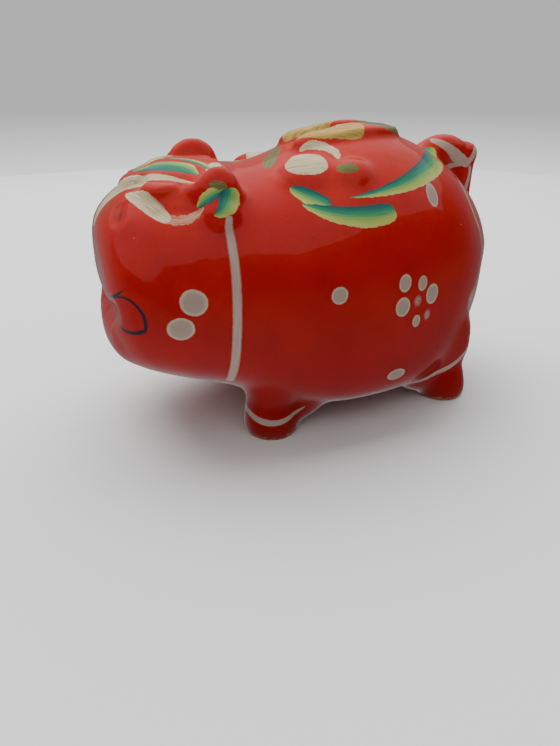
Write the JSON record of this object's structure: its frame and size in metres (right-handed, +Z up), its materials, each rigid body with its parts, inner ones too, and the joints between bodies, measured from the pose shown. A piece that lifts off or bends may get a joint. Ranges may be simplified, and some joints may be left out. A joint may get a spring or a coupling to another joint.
{
  "type": "piggy bank",
  "caption": "Hollow glazed earthenware piggy bank with short feet, drooping ears, curled tail, relief flowers, a coin slot in its back and a rubber stopper under the belly.",
  "frame": {"origin": "middle of the bottom of the bounding box, on the surface that the four feet stand on", "axes": "+X from the nose to the tail, +Y towards the pig's right side, +Z up"},
  "size_m": [0.1856, 0.1152, 0.1244],
  "materials": {
    "glazed_clay": null,
    "stopper_rubber": "matt black soft rubber"
  },
  "bodies": {
    "bank": {"left_body_half": "glazed_clay", "right_body_half": "glazed_clay", "front_left_foot": "glazed_clay", "front_right_foot": "glazed_clay", "rear_left_foot": "glazed_clay", "rear_right_foot": "glazed_clay", "left_ear": "glazed_clay", "right_ear": "glazed_clay", "tail": "glazed_clay", "forelock_flower": "glazed_clay", "left_crest_leaf": "glazed_clay", "right_crest_leaf": "glazed_clay", "left_bud": "glazed_clay", "right_bud": "glazed_clay", "left_leaf_knob": "glazed_clay", "right_leaf_knob": "glazed_clay"},
    "stopper": {"belly_stopper": "stopper_rubber"}
  },
  "joints": [
    {"name": "stopper_pull", "type": "slide", "parent": "bank", "child": "stopper", "axis": [0, 0, -1], "range_m": [0, 0.0055]}
  ]
}
